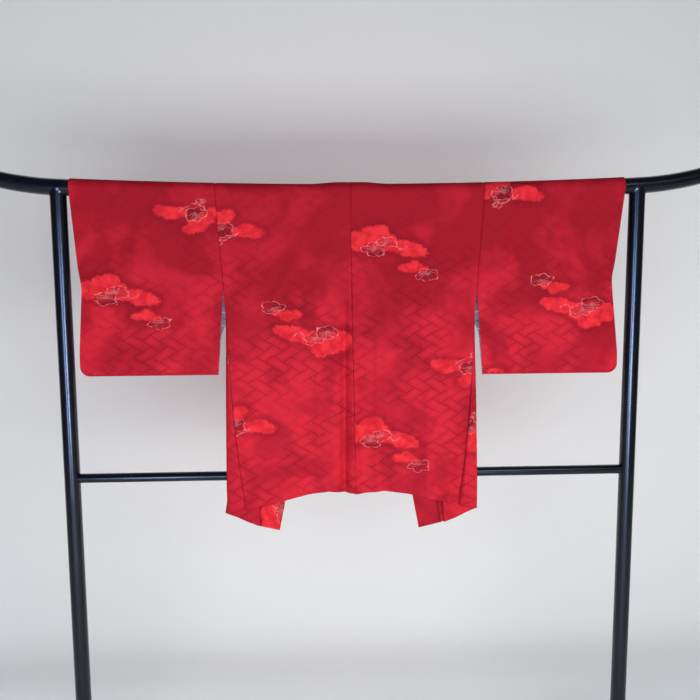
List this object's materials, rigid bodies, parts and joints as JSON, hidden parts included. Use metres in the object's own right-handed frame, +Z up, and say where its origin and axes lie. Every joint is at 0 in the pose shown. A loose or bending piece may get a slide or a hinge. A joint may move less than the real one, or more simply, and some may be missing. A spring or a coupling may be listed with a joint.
{
  "type": "haori on a kimono stand",
  "caption": "Short open-fronted Japanese silk jacket with deep hanging sleeves, hung by its shoulders over the bar of a glossy tubular garment stand, seen from its back.",
  "frame": {"origin": "on the floor, midway between the stand's four pads", "axes": "+X along the stand's top bar, +Y from the jacket's back towards its open front, +Z up"},
  "size_m": [1.77, 0.52, 1.5357],
  "materials": {
    "silk": "soft crepe silk with a low sheen, red ground with paler red clouds, small outlined plum flowers and a dark woven-fence lattice",
    "stand_paint": "gloss black paint on steel tube",
    "pad_rubber": "matt black rubber"
  },
  "bodies": {
    "root": {"body_left": "silk", "body_right": "silk", "sleeve_left": "silk", "sleeve_right": "silk", "gusset_left": "silk", "gusset_right": "silk", "collar": "silk", "top_bar": "stand_paint", "bar_plug_left": "stand_paint", "bar_plug_right": "stand_paint", "post_left": "stand_paint", "post_right": "stand_paint", "crossbar": "stand_paint", "foot_left": "stand_paint", "foot_right": "stand_paint", "pad_left_back": "pad_rubber", "pad_left_front": "pad_rubber", "pad_right_back": "pad_rubber", "pad_right_front": "pad_rubber"}
  },
  "joints": []
}
